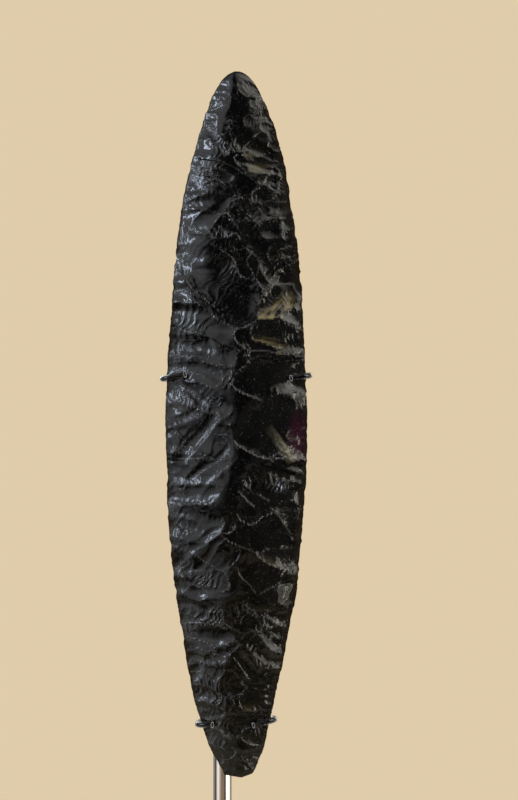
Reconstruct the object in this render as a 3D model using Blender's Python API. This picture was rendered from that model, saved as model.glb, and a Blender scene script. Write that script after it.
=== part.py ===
"""An obsidian knife blade, flaked on both faces, held upright by a rod and two wire clips.

Metres, +Z up. The origin is at the centre of the foot's underside. The blade's front looks
along -Y, and heights on the blade are measured from its base.
"""

import math

import bmesh
import bpy
import numpy as np
from mathutils import Vector

# The blade's outline and section
BLADE_LENGTH = 0.300
BLADE_WIDTH = 0.0598
BLADE_THICKNESS = 0.0130
WIDEST_HEIGHT = 0.150
BASE_WIDTH = 0.0094
TIP_WIDTH = 0.0026
EDGE_WAVE = 0.0005
LEFT_WINDING = 0.053
RIGHT_WINDING = 0.041

# How far the centre line sways aside, and the middle and spread of its low and its high bend as
# shares of the length
SWAY = 0.0006
LOW_BEND = (0.150, 0.10)
HIGH_BEND = (0.907, 0.06)

# Powers that shape the outline below and above the widest place, the lens of the cross-section,
# and how the blade thins where it narrows
LOWER_CURVE = 2.05
LOWER_FULLNESS = 0.80
UPPER_CURVE = 1.80
LENS_CURVE = 1.75
LENS_FULLNESS = 0.90
THINNING = 0.75

# Share of its breadth that a scar has at the edge, and how sharply it turns up at its far end
SCAR_START = 0.62
SCAR_END_CURVE = 4

# The rod and the foot it stands in
ROD_DIAMETER = 0.0080
ROD_ABOVE_CLIP = 0.0060
ROD_CHAMFER = 0.0005
ROD_LEFT_OF_AXIS = 0.0060
ROD_BEHIND_CENTRE = 0.0060
BEHIND_BLADE = 0.0010
FOOT_WIDTH = 0.110
FOOT_DEPTH = 0.080
FOOT_HEIGHT = 0.010
FOOT_BEVEL = 0.0015
SOCKET_DEPTH = 0.007
BLADE_ABOVE_FOOT = 0.045

# The wire clips and the clear tubes over their hooks
WIRE_DIAMETER = 0.0015
TUBE_WALL = 0.00025
TUBE_BEYOND_WIRE = 0.0005
WIRE_BEND = 0.0030
HOOK_REAR = 0.0040
ROD_LEAD = 0.0040
TUBE_BEHIND = 0.0060
GAP = 0.0003

# Height on the blade of each clip's hole through the rod. Each hook has its height at the blade's
# edge, its height at its end and how far it reaches in from the edge.
UPPER_CLIP_HEIGHT = 0.1701
UPPER_LEFT_HOOK = (0.1694, 0.1712, 0.0080)
UPPER_RIGHT_HOOK = (0.1708, 0.1696, 0.0064)
LOWER_CLIP_HEIGHT = 0.0235
LOWER_LEFT_HOOK = (0.0226, 0.0226, 0.0047)
LOWER_RIGHT_HOOK = (0.0248, 0.0224, 0.0074)

# How fine the faceted blade is, how much closer its rows lie at the ends and its columns at the
# edges, and how far, as a share of a cell, a corner may move to lie on a ridge between scars
BLADE_ROWS = 84
BLADE_COLUMNS = 19
END_CROWDING = 0.35
EDGE_CROWDING = 0.5
RIDGE_REACH = 0.45

# The main flake scars of the front, from tip to base. Each is the height of its striking point
# as a share of the blade's length, its slant in degrees towards the tip, its reach and its half
# breadth as shares of the blade's width, and its depth as a share of the thickness.
LEFT_SCARS = (
    (0.965, -12, 0.17, 0.080, 0.042),
    (0.928, -8, 0.19, 0.075, 0.052),
    (0.890, -6, 0.25, 0.082, 0.058),
    (0.853, -6, 0.30, 0.090, 0.065),
    (0.818, -4, 0.32, 0.085, 0.066),
    (0.784, -8, 0.29, 0.117, 0.072),
    (0.764, -47, 0.86, 0.190, 0.150),
    (0.700, -4, 0.20, 0.085, 0.080),
    (0.656, -12, 0.53, 0.143, 0.105),
    (0.622, -24, 0.53, 0.143, 0.100),
    (0.582, -10, 0.44, 0.117, 0.090),
    (0.523, -34, 0.53, 0.150, 0.115),
    (0.478, -12, 0.27, 0.100, 0.092),
    (0.438, -20, 0.29, 0.092, 0.095),
    (0.401, 0, 0.35, 0.088, 0.095),
    (0.359, -4, 0.38, 0.175, 0.125),
    (0.313, -26, 0.48, 0.147, 0.110),
    (0.268, -6, 0.27, 0.083, 0.092),
    (0.243, -18, 0.37, 0.093, 0.092),
    (0.209, -6, 0.42, 0.107, 0.092),
    (0.177, -14, 0.33, 0.090, 0.085),
    (0.126, -12, 0.27, 0.097, 0.077),
    (0.092, -8, 0.20, 0.090, 0.068),
    (0.056, 0, 0.17, 0.093, 0.062),
)
RIGHT_SCARS = (
    (0.968, -12, 0.16, 0.080, 0.040),
    (0.936, -30, 0.23, 0.100, 0.054),
    (0.905, -22, 0.28, 0.097, 0.062),
    (0.858, -8, 0.26, 0.087, 0.063),
    (0.817, -6, 0.26, 0.086, 0.065),
    (0.786, -14, 0.30, 0.097, 0.068),
    (0.754, -34, 0.29, 0.103, 0.077),
    (0.721, -50, 0.43, 0.133, 0.115),
    (0.652, 4, 0.20, 0.085, 0.078),
    (0.620, 0, 0.40, 0.137, 0.115),
    (0.569, 0, 0.52, 0.163, 0.125),
    (0.495, 4, 0.52, 0.258, 0.160),
    (0.413, 0, 0.45, 0.153, 0.115),
    (0.353, 2, 0.57, 0.208, 0.135),
    (0.313, -2, 0.32, 0.123, 0.104),
    (0.274, -10, 0.42, 0.117, 0.104),
    (0.231, -24, 0.28, 0.110, 0.092),
    (0.200, -14, 0.30, 0.090, 0.085),
    (0.163, -4, 0.25, 0.093, 0.078),
    (0.112, -6, 0.30, 0.123, 0.085),
    (0.056, 0, 0.20, 0.093, 0.070),
)
BACK_SCARS_A_SIDE = 14
BACK_SEED = 11

# Places that follow from the sizes
BASE_HEIGHT = FOOT_HEIGHT + BLADE_ABOVE_FOOT
ROD_X = -ROD_LEFT_OF_AXIS
ROD_Y = ROD_BEHIND_CENTRE
BLADE_Y = ROD_Y - ROD_DIAMETER / 2 - BEHIND_BLADE - BLADE_THICKNESS / 2
BORE_RADIUS = WIRE_DIAMETER / 2 + GAP
TUBE_RADIUS = BORE_RADIUS + TUBE_WALL


def clear_scene():
    for thing in list(bpy.data.objects):
        bpy.data.objects.remove(thing)


def finish_material(name, colour, roughness, metallic=0.0, alpha=1.0):
    material = bpy.data.materials.new(name)
    material.use_nodes = True
    shader = material.node_tree.nodes["Principled BSDF"]
    shader.inputs["Base Color"].default_value = (*colour, 1.0)
    shader.inputs["Roughness"].default_value = roughness
    shader.inputs["Metallic"].default_value = metallic
    shader.inputs["Alpha"].default_value = alpha
    return material


def add_object(name, bm, material=None, sharp=30):
    """An object of the mesh, shaded smooth except at edges that turn by more than the angle."""
    bmesh.ops.recalc_face_normals(bm, faces=bm.faces)
    mesh = bpy.data.meshes.new(name)
    bm.to_mesh(mesh)
    bm.free()
    mesh.shade_smooth()
    mesh.set_sharp_from_angle(angle=math.radians(sharp))
    thing = bpy.data.objects.new(name, mesh)
    bpy.context.collection.objects.link(thing)
    if material:
        mesh.materials.append(material)
    return thing


def make_cutter(name, bm):
    cutter = add_object(name, bm)
    cutter.hide_render = True
    cutter.display_type = "WIRE"
    return cutter


def cut(thing, cutter):
    boolean = thing.modifiers.new(cutter.name, "BOOLEAN")
    boolean.operation = "DIFFERENCE"
    boolean.object = cutter


def outline(height):
    """Centre line and half width of the blade at a height above its base.

    Below the widest place the half width grows from the base as 1 - (1 - t)^curve, raised to
    its fullness, and above it the blade is half a superellipse with a small blunt tip. The
    centre line sways to the left near the base and to the right near the tip.
    """
    half = BLADE_WIDTH / 2
    low = np.clip(height / WIDEST_HEIGHT, 0, 1)
    high = np.clip((height - WIDEST_HEIGHT) / (BLADE_LENGTH - WIDEST_HEIGHT), 0, 1)
    rise = (1 - (1 - low) ** LOWER_CURVE) ** LOWER_FULLNESS
    lower = BASE_WIDTH / 2 + (half - BASE_WIDTH / 2) * rise
    upper = np.sqrt((half**2 - TIP_WIDTH**2 / 4) * (1 - high**UPPER_CURVE) + TIP_WIDTH**2 / 4)
    share = height / BLADE_LENGTH
    to_right = np.exp(-(((share - HIGH_BEND[0]) / HIGH_BEND[1]) ** 2))
    to_left = np.exp(-(((share - LOW_BEND[0]) / LOW_BEND[1]) ** 2))
    return SWAY * (to_right - to_left), np.where(height < WIDEST_HEIGHT, lower, upper)


def envelope(height, across):
    """Height of the unscarred face over the middle plane: a lens, thinner where it is narrow."""
    half = outline(height)[1]
    crest = BLADE_THICKNESS / 2 * (2 * half / BLADE_WIDTH) ** THINNING
    return crest * (1 - np.abs(across) ** LENS_CURVE) ** LENS_FULLNESS


def hollows(x, height, scars):
    """Depth of every scar at each point, negative inside it, then a layer of zeros for no scar.

    Each scar is a shell-shaped bowl that starts at the edge, widens, and is deepest along its axis.
    """
    layers = []
    for side, share, slant, reach, breadth, depth in scars:
        start = share * BLADE_LENGTH
        centre, half = outline(start)
        along_x = -side * math.cos(math.radians(slant))
        along_z = math.sin(math.radians(slant))
        dx = x - (centre + side * half)
        dz = height - start
        along = np.clip(dx * along_x + dz * along_z, 0, None) / (reach * BLADE_WIDTH)
        aside = (dz * along_x - dx * along_z) / (breadth * BLADE_WIDTH)
        aside = aside / (SCAR_START + (1 - SCAR_START) * np.clip(2 * along, 0, 1))
        layers.append(-depth * BLADE_THICKNESS * (1 - aside**2 - along**SCAR_END_CURVE))
    layers.append(np.zeros_like(x))
    return np.stack(layers)


def move_to_ridges(x, height, scars):
    """Move the inner corners that lie near the ridge between two scars onto that ridge.

    The gap between the two deepest scars is divided by its slope, which gives the way to the
    place where they meet.
    """
    pair = np.argsort(hollows(x, height, scars), axis=0)[:2]

    def gap(at_x, at_height):
        deepest, second = np.take_along_axis(hollows(at_x, at_height, scars), pair, axis=0)
        return second - deepest

    probe = 1e-5
    here = gap(x, height)
    slope_x = (gap(x + probe, height) - here) / probe
    slope_z = (gap(x, height + probe) - here) / probe
    share = here / np.maximum(slope_x**2 + slope_z**2, 1e-9)
    step_x = share * slope_x
    step_z = share * slope_z
    cell_x = RIDGE_REACH * np.gradient(x, axis=1)
    cell_z = RIDGE_REACH * np.gradient(height, axis=0)
    near = (np.abs(step_x) < cell_x) & (np.abs(step_z) < cell_z)
    near[[0, -1], :] = False
    near[:, [0, -1]] = False
    return x - np.where(near, step_x, 0), height - np.where(near, step_z, 0)


def scarred(x, height, scars):
    """Face height over the middle plane once the flakes are struck off.

    The deepest scar wins at each point, so that neighbours meet in a sharp ridge, and the
    hollow fades towards the thin edge, which stays where the outline puts it.
    """
    centre, half = outline(height)
    full = envelope(height, np.clip((x - centre) / half, -1, 1))
    deepest = hollows(x, height, scars).min(axis=0)
    return full * np.exp(deepest / np.maximum(full, 1e-5))


def edge_sway(x, height):
    """How far the winding edge carries the middle plane backwards, nothing along the middle."""
    centre, half = outline(height)
    across = np.clip((x - centre) / half, -1, 1)
    right = np.sin(height * 2 * math.pi / RIGHT_WINDING + 1)
    left = np.sin(height * 2 * math.pi / LEFT_WINDING)
    calm_tip = np.clip(4 - 4 * height / BLADE_LENGTH, 0, 1)
    return EDGE_WAVE * np.where(across > 0, right, left) * np.abs(across) ** 3 * calm_tip


def back_scars():
    """Flakes of the hidden face: evenly spaced down both edges, with seeded small changes."""
    draw = np.random.default_rng(BACK_SEED)
    scars = []
    for side in (-1, 1):
        for number in range(BACK_SCARS_A_SIDE):
            share = 0.05 + 0.9 * (number + draw.uniform(0.2, 0.8)) / BACK_SCARS_A_SIDE
            reach = draw.uniform(0.30, 0.55)
            breadth = draw.uniform(0.10, 0.19)
            depth = draw.uniform(0.08, 0.13)
            scars.append((side, share, draw.uniform(-30, 12), reach, breadth, depth))
    return scars


def blade_faces():
    """Grids of corners of the front and the back face, which share their outline."""
    step = np.linspace(0, 1, BLADE_ROWS + 1)
    height = BLADE_LENGTH * (step - END_CROWDING * np.sin(2 * math.pi * step) / (2 * math.pi))
    even = np.linspace(-1, 1, BLADE_COLUMNS + 1)
    across = (1 - EDGE_CROWDING) * even + EDGE_CROWDING * np.sin(even * math.pi / 2)
    height, across = np.meshgrid(height, across, indexing="ij")
    centre, half = outline(height)
    front_scars = [(-1, *scar) for scar in LEFT_SCARS] + [(1, *scar) for scar in RIGHT_SCARS]
    faces = []
    for outward, scars in ((-1, front_scars), (1, back_scars())):
        x, z = move_to_ridges(centre + across * half, height, scars)
        y = edge_sway(x, z) + outward * scarred(x, z, scars)
        faces.append(np.stack([x, y + BLADE_Y, z + BASE_HEIGHT], axis=-1))
    return faces


def make_blade(material):
    bm = bmesh.new()
    faces = [[[bm.verts.new(point) for point in row] for row in face] for face in blade_faces()]
    for row_front, row_back in zip(*faces):
        for end in (0, -1):
            bm.verts.remove(row_back[end])
            row_back[end] = row_front[end]
    for grid, outward in zip(faces, (-1, 1)):
        for row in range(BLADE_ROWS):
            for column in range(BLADE_COLUMNS):
                a, b = grid[row][column], grid[row][column + 1]
                d, c = grid[row + 1][column], grid[row + 1][column + 1]
                if (a.co.y + c.co.y - b.co.y - d.co.y) * outward > 0:
                    bm.faces.new((a, b, c))
                    bm.faces.new((a, c, d))
                else:
                    bm.faces.new((a, b, d))
                    bm.faces.new((b, c, d))
    for row in (0, -1):
        ahead, behind = faces[0][row], faces[1][row]
        for column in range(BLADE_COLUMNS):
            loop = [ahead[column], ahead[column + 1], behind[column + 1], behind[column]]
            bm.faces.new(list(dict.fromkeys(loop)))
    bmesh.ops.triangulate(bm, faces=[face for face in bm.faces if len(face.verts) > 3])
    add_object("blade", bm, material, sharp=12)


def rounded_route(corners, radius, step=0.0012):
    """A path through the corners, each turned with an arc of the radius."""
    route = [corners[0]]
    for before, corner, after in zip(corners, corners[1:], corners[2:]):
        arriving = (corner - before).normalized()
        leaving = (after - corner).normalized()
        turn = arriving.angle(leaving)
        normal = arriving.cross(leaving).normalized()
        begin = corner - arriving * radius * math.tan(turn / 2)
        middle = begin + normal.cross(arriving) * radius
        count = max(2, math.ceil(radius * turn / step))
        for number in range(count + 1):
            angle = turn * number / count
            spoke = (begin - middle) * math.cos(angle) + arriving * radius * math.sin(angle)
            route.append(middle + spoke)
    route.append(corners[-1])
    return route


def rings_along(bm, route, radius, sides):
    """A ring of points round each place of the route, carried along it without a twist."""
    rings = []
    side = None
    for number, place in enumerate(route):
        ahead = route[min(number + 1, len(route) - 1)]
        behind = route[max(number - 1, 0)]
        along = (ahead - behind).normalized()
        if side is None:
            side = along.orthogonal().normalized()
        side = (side - along * side.dot(along)).normalized()
        up = along.cross(side)
        ring = []
        for index in range(sides):
            angle = 2 * math.pi * index / sides
            ring.append(bm.verts.new(place + radius * (side * math.cos(angle) + up * math.sin(angle))))
        rings.append(ring)
    return rings


def skin(bm, rings):
    for one, two in zip(rings, rings[1:]):
        count = len(one)
        for index in range(count):
            after = (index + 1) % count
            bm.faces.new((one[index], one[after], two[after], two[index]))


def make_wire(name, route, material):
    bm = bmesh.new()
    rings = rings_along(bm, route, WIRE_DIAMETER / 2, 8)
    skin(bm, rings)
    bm.faces.new(rings[0])
    bm.faces.new(rings[-1])
    add_object(name, bm, material, sharp=50)


def make_sleeve(name, route, material):
    bm = bmesh.new()
    outer = rings_along(bm, route, TUBE_RADIUS, 10)
    inner = rings_along(bm, route, BORE_RADIUS, 10)
    skin(bm, outer)
    skin(bm, inner)
    skin(bm, [outer[0], inner[0]])
    skin(bm, [outer[-1], inner[-1]])
    add_object(name, bm, material, sharp=50)


def hook_corners(side, hook):
    """Corners of one hook's wire: its end on the front, round the edge, then behind the blade."""
    at_edge, at_end, reach = hook
    heights = np.array([at_edge - TUBE_RADIUS, at_edge, at_edge + TUBE_RADIUS])
    centre, half = outline(heights)
    edge = float(np.max(side * centre + half))
    clear = side * (edge + GAP + TUBE_RADIUS)
    end_x = side * (edge - reach)
    centre, half = outline(np.array([at_end]))
    across = (end_x - centre) / half
    ahead = float(envelope(np.array([at_end]), across)[0]) + GAP + TUBE_RADIUS
    corners = (
        (end_x, BLADE_Y - ahead, at_end),
        (clear, BLADE_Y - ahead, at_edge),
        (clear, BLADE_Y + HOOK_REAR, at_edge),
    )
    return [Vector((x, y, z + BASE_HEIGHT)) for x, y, z in corners]


def shortened(route, length):
    """The stretch of a route from its start that has the given length."""
    kept = [route[0]]
    for place in route[1:]:
        reach = (place - kept[-1]).length
        if reach >= length:
            kept.append(kept[-1].lerp(place, length / reach))
            return kept
        kept.append(place)
        length -= reach
    return kept


def make_clip(name, at_rod, left, right, wire_material, tube_material):
    """One wire through the rod with a hook on each side, and a clear tube over each hook."""
    height = at_rod + BASE_HEIGHT
    lead = ROD_DIAMETER / 2 + ROD_LEAD
    left_corners = hook_corners(-1, left)
    right_corners = hook_corners(1, right)
    left_lead = Vector((ROD_X - lead, ROD_Y, height))
    right_lead = Vector((ROD_X + lead, ROD_Y, height))
    corners = left_corners + [left_lead, right_lead] + right_corners[::-1]
    make_wire(f"{name}_clip", rounded_route(corners, WIRE_BEND), wire_material)
    hooks = (("left", left_corners, left_lead), ("right", right_corners, right_lead))
    for side, hook, lead_corner in hooks:
        onward = rounded_route([*hook, lead_corner], WIRE_BEND)
        onward[0] = onward[0] - (onward[1] - onward[0]).normalized() * TUBE_BEYOND_WIRE
        to_rear = (onward[0] - hook[1]).length + (hook[2] - hook[1]).length
        length = to_rear - WIRE_BEND + TUBE_BEHIND
        make_sleeve(f"{name}_{side}_sleeve", shortened(onward, length), tube_material)


def turned_bar(profile, sides):
    """A closed round bar up the rod's axis, through the radii and heights of the profile."""
    bm = bmesh.new()
    angles = [2 * math.pi * index / sides for index in range(sides)]
    rings = []
    for radius, height in profile:
        ring = []
        for angle in angles:
            place = (ROD_X + radius * math.cos(angle), ROD_Y + radius * math.sin(angle), height)
            ring.append(bm.verts.new(place))
        rings.append(ring)
    skin(bm, rings)
    bm.faces.new(rings[0])
    bm.faces.new(rings[-1])
    return bm


def wire_hole(height):
    """A cutter straight through the rod from left to right, a gap wider than the wire."""
    bm = bmesh.new()
    through = Vector((ROD_DIAMETER, 0, 0))
    middle = Vector((ROD_X, ROD_Y, height))
    rings = rings_along(bm, [middle - through, middle + through], BORE_RADIUS, 16)
    skin(bm, rings)
    bm.faces.new(rings[0])
    bm.faces.new(rings[-1])
    return bm


def make_post(material):
    radius = ROD_DIAMETER / 2
    bottom = FOOT_HEIGHT - SOCKET_DEPTH + GAP
    top = BASE_HEIGHT + UPPER_CLIP_HEIGHT + ROD_ABOVE_CLIP
    profile = ((radius, bottom), (radius, top - ROD_CHAMFER), (radius - ROD_CHAMFER, top))
    post = add_object("post", turned_bar(profile, 32), material)
    cut(post, make_cutter("lower_wire_hole", wire_hole(BASE_HEIGHT + LOWER_CLIP_HEIGHT)))
    cut(post, make_cutter("upper_wire_hole", wire_hole(BASE_HEIGHT + UPPER_CLIP_HEIGHT)))


def make_foot(material):
    bm = bmesh.new()
    bmesh.ops.create_cube(bm, size=1)
    bmesh.ops.scale(bm, vec=(FOOT_WIDTH, FOOT_DEPTH, FOOT_HEIGHT), verts=bm.verts)
    bmesh.ops.translate(bm, vec=(0, 0, FOOT_HEIGHT / 2), verts=bm.verts)
    foot = add_object("foot", bm, material)
    bevel = foot.modifiers.new("edges", "BEVEL")
    bevel.width = FOOT_BEVEL
    bevel.segments = 3
    radius = ROD_DIAMETER / 2 + GAP
    profile = ((radius, FOOT_HEIGHT - SOCKET_DEPTH), (radius, FOOT_HEIGHT + ROD_DIAMETER))
    cut(foot, make_cutter("rod_socket", turned_bar(profile, 32)))


def main():
    clear_scene()
    obsidian = finish_material("obsidian", (0.012, 0.012, 0.013), 0.08)
    polished = finish_material("polished_steel", (0.72, 0.70, 0.67), 0.12, metallic=1.0)
    satin = finish_material("satin_steel", (0.30, 0.29, 0.28), 0.42, metallic=1.0)
    dark = finish_material("dark_wire", (0.035, 0.033, 0.032), 0.35, metallic=1.0)
    clear = finish_material("clear_tube", (0.90, 0.90, 0.90), 0.10, alpha=0.35)
    make_blade(obsidian)
    make_post(polished)
    make_foot(satin)
    make_clip("upper", UPPER_CLIP_HEIGHT, UPPER_LEFT_HOOK, UPPER_RIGHT_HOOK, dark, clear)
    make_clip("lower", LOWER_CLIP_HEIGHT, LOWER_LEFT_HOOK, LOWER_RIGHT_HOOK, dark, clear)


main()
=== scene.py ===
import math

import bpy
import numpy as np
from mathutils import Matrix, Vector


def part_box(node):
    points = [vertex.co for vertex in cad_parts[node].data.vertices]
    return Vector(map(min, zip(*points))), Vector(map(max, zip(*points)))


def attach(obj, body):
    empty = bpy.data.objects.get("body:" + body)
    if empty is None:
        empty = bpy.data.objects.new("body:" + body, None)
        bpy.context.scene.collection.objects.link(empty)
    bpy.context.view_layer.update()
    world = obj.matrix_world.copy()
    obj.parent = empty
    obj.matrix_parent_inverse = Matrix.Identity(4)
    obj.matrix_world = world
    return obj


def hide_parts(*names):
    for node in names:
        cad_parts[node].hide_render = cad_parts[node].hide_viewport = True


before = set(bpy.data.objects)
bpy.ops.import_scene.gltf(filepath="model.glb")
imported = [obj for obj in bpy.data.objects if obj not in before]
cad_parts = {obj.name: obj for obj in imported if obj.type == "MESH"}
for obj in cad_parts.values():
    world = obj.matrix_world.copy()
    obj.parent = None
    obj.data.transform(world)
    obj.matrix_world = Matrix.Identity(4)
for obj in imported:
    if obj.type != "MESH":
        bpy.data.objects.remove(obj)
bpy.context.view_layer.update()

# The view. A long lens looks level at the blade's front from straight ahead. The photograph shows
# the blade from its tip to its base and cuts off the rod just below, so the foot is out of sight.
PHOTO_WIDTH, PHOTO_HEIGHT = 518, 800
TIP_PIXEL = (236.3, 71.5)
BASE_PIXEL_Y = 777.3
CAMERA_DISTANCE = 1.45
SENSOR = 36.0

blade_low, blade_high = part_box("blade")
BLADE_LENGTH = blade_high.z - blade_low.z
BASE_HEIGHT = blade_low.z
metres_a_pixel = BLADE_LENGTH / (BASE_PIXEL_Y - TIP_PIXEL[1])
look_x = (PHOTO_WIDTH / 2 - TIP_PIXEL[0]) * metres_a_pixel
look_z = BASE_HEIGHT + (BASE_PIXEL_Y - PHOTO_HEIGHT / 2) * metres_a_pixel

camera = bpy.data.objects.new("camera", bpy.data.cameras.new("camera"))
bpy.context.collection.objects.link(camera)
bpy.context.scene.camera = camera
camera.data.sensor_width = SENSOR
camera.data.lens = SENSOR * CAMERA_DISTANCE / (PHOTO_HEIGHT * metres_a_pixel)
camera.location = (look_x, (blade_low.y + blade_high.y) / 2 - CAMERA_DISTANCE, look_z)
camera.rotation_euler = (math.pi / 2, 0, 0)
camera.data.clip_start = 0.05
bpy.context.scene.view_settings.view_transform = "Standard"

# The studio. Narrow strip lamps put small streaks on the stone, low panels light the rod, and
# soft patches of light in the room give the scars their greys. The camera sees plain pale tan.
ROOM_COLOUR = (0.745, 0.604, 0.402)
TARGET = Vector((0, -0.005, 0.21))


def direction(azimuth, elevation):
    """Unit vector that points azimuth degrees to the right of -Y and elevation degrees up."""
    a = math.radians(azimuth)
    e = math.radians(elevation)
    return Vector((math.sin(a) * math.cos(e), -math.cos(a) * math.cos(e), math.sin(e)))


def panel(name, azimuth, elevation, distance, width, height, radiance, colour):
    """A lamp that faces the blade. Its power is radiance times pi times width times height."""
    lamp = bpy.data.lights.new(name, "AREA")
    lamp.shape = "RECTANGLE"
    lamp.size = width
    lamp.size_y = height
    lamp.energy = radiance * math.pi * width * height
    lamp.color = colour
    thing = bpy.data.objects.new(name, lamp)
    bpy.context.collection.objects.link(thing)
    towards = direction(azimuth, elevation)
    thing.location = TARGET + towards * distance
    thing.rotation_euler = towards.to_track_quat("Z", "Y").to_euler()
    thing.visible_camera = False


panel("inner_strip", -37, 14, 1.1, 0.035, 0.46, 20.0, (0.72, 0.83, 1.0))
panel("left_strip", -53, 13, 1.1, 0.07, 0.48, 19.0, (0.72, 0.83, 1.0))
panel("left_window", -74, 19, 1.1, 0.09, 0.30, 11.0, (0.72, 0.83, 1.0))
panel("right_strip", 42, 3, 1.2, 0.045, 0.50, 8.0, (1.0, 0.92, 0.74))
panel("right_low", 73, -13.9, 1.3, 1.32, 0.09, 2.3, (1.0, 0.97, 0.90))
panel("front_low", 0, -13.9, 1.3, 1.05, 0.08, 0.36, (1.0, 0.80, 0.60))
panel("back_left_panel", -150, 25, 1.5, 0.9, 0.9, 2.4, (1.0, 0.98, 0.95))
panel("back_right_panel", 140, 15, 1.5, 0.6, 1.0, 2.4, (1.0, 0.93, 0.82))


class Output:
    """A shader node's output. Arithmetic on it adds Math nodes to the same node tree."""

    def __init__(self, tree, socket):
        self.tree = tree
        self.socket = socket

    def _math(self, operation, *values):
        node = self.tree.nodes.new("ShaderNodeMath")
        node.operation = operation
        for place, value in zip(node.inputs, values):
            if isinstance(value, Output):
                self.tree.links.new(value.socket, place)
            else:
                place.default_value = value
        return Output(self.tree, node.outputs[0])

    def __add__(self, other):
        return self._math("ADD", self, other)

    def __sub__(self, other):
        return self._math("SUBTRACT", self, other)

    def __rsub__(self, other):
        return self._math("SUBTRACT", other, self)

    def __mul__(self, other):
        return self._math("MULTIPLY", self, other)

    def __truediv__(self, other):
        return self._math("DIVIDE", self, other)

    def __pow__(self, other):
        return self._math("POWER", self, other)

    __radd__ = __add__
    __rmul__ = __mul__

    def between(self, low, high):
        """0 below low, 1 above high and a straight ramp from one to the other."""
        return ((self - low) / (high - low)).clamped()

    def clamped(self):
        """The value, held between 0 and 1."""
        held = self._math("ADD", self, 0.0)
        held.socket.node.use_clamp = True
        return held


class Finish:
    """A material, or the room's light, as a node tree that is built by calls to node()."""

    def __init__(self, holder, kind):
        holder.use_nodes = True
        self.holder = holder
        self.tree = holder.node_tree
        self.shader = self.tree.nodes[kind]

    def node(self, kind, settings=(), inputs=(), output=0):
        """A node of the kind with its settings made first, then its sockets filled or linked."""
        made = self.tree.nodes.new(kind)
        for name, value in dict(settings).items():
            setattr(made, name, value)
        for name, value in dict(inputs).items():
            if isinstance(value, Output):
                self.tree.links.new(value.socket, made.inputs[name])
            else:
                made.inputs[name].default_value = value
        return Output(self.tree, made.outputs[output])

    def place(self, scale=(1, 1, 1)):
        """The point in the object's own metres, stretched by the scale."""
        point = self.node("ShaderNodeTexCoord", output="Object")
        return self.node("ShaderNodeMapping", inputs={"Vector": point, "Scale": scale})

    def noise(self, point, scale, detail=2.0, rough=0.5):
        """Smooth noise between 0 and 1, with scale waves to a metre and finer ones added."""
        sockets = {"Vector": point, "Scale": scale, "Detail": detail, "Roughness": rough}
        return self.node("ShaderNodeTexNoise", inputs=sockets)

    def blend(self, share, first, second):
        """A colour that goes from the first to the second as the share goes from 0 to 1."""
        sockets = {"Factor": share, 6: first, 7: second}
        return self.node("ShaderNodeMix", {"data_type": "RGBA"}, sockets, output=2)

    def bump(self, height, distance):
        """A normal that leans as if the height, times the distance, stood on the surface."""
        return self.node("ShaderNodeBump", inputs={"Height": height, "Distance": distance})

    def set(self, sockets):
        """Fill or link sockets of the shader itself."""
        for name, value in sockets.items():
            if isinstance(value, Output):
                self.tree.links.new(value.socket, self.shader.inputs[name])
            else:
                self.shader.inputs[name].default_value = value


def new_finish(name):
    """A new material whose shader is the usual one for surfaces."""
    return Finish(bpy.data.materials.new(name), "Principled BSDF")


world = bpy.data.worlds.new("room")
bpy.context.scene.world = world
room = Finish(world, "Background")
ray = room.node("ShaderNodeLightPath", output="Is Camera Ray")
heading = room.node("ShaderNodeTexCoord", output="Generated")


def lobe(azimuth, elevation, inner, outer):
    """1 within inner degrees of the direction, and 0 beyond outer degrees.

    Between them it falls evenly with the cosine of the angle from the direction.
    """
    sockets = {0: heading, 1: direction(azimuth, elevation)}
    facing = room.node("ShaderNodeVectorMath", {"operation": "DOT_PRODUCT"}, sockets, "Value")
    return facing.between(math.cos(math.radians(outer)), math.cos(math.radians(inner)))


# Each patch of light has an azimuth, an elevation, the angles within which it is full and beyond
# which it is dark, and a brightness. The rest of the room is nearly dark.
PATCHES = (
    (-50, 19, 14, 44, 1.2),
    (-58, -14, 6, 26, 0.65),
    (-15, 8, 3, 15, 0.45),
    (46, 36, 8, 31, 2.1),
    (66, 14, 4, 32, 2.2),
    (-95, 28, 10, 36, 0.3),
    (0, 90, 10, 50, 0.35),
    (38, -4, 4, 26, 0.1),
    (150, -5, 35, 62, 0.5),
    (-135, 0, 20, 45, 0.35),
)
glow = 0.01
for *aim, inner, outer, brightness in PATCHES:
    glow = glow + lobe(*aim, inner, outer) * brightness
to_right = room.node("ShaderNodeSeparateXYZ", inputs={0: heading}, output=0)
tint = room.blend(to_right.between(-0.4, 0.3), (0.95, 0.96, 1.0, 1), (1.0, 0.96, 0.88, 1))
room.set({"Color": room.blend(ray, tint, (*ROOM_COLOUR, 1))})
room.set({"Strength": glow + ray * (1 - glow)})

# The floor is a plain pale sheet under the foot. It is round and fades out well inside the view,
# so that no edge of it shows.
FLOOR_RADIUS = 0.30
FLOOR_FADE = 0.09
FLOOR_SIDES = 64


def grid_mesh(name, points, faces, material, sharp=None):
    """An object with its place in its mesh, smooth but where faces turn by more than sharp degrees."""
    mesh = bpy.data.meshes.new(name)
    mesh.from_pydata(points.reshape(-1, 3).tolist(), [], faces)
    mesh.polygons.foreach_set("use_smooth", np.full(len(mesh.polygons), True))
    if sharp:
        mesh.set_sharp_from_angle(angle=math.radians(sharp))
    mesh.materials.append(material)
    mesh.update()
    thing = bpy.data.objects.new(name, mesh)
    bpy.context.collection.objects.link(thing)
    return thing


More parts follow.
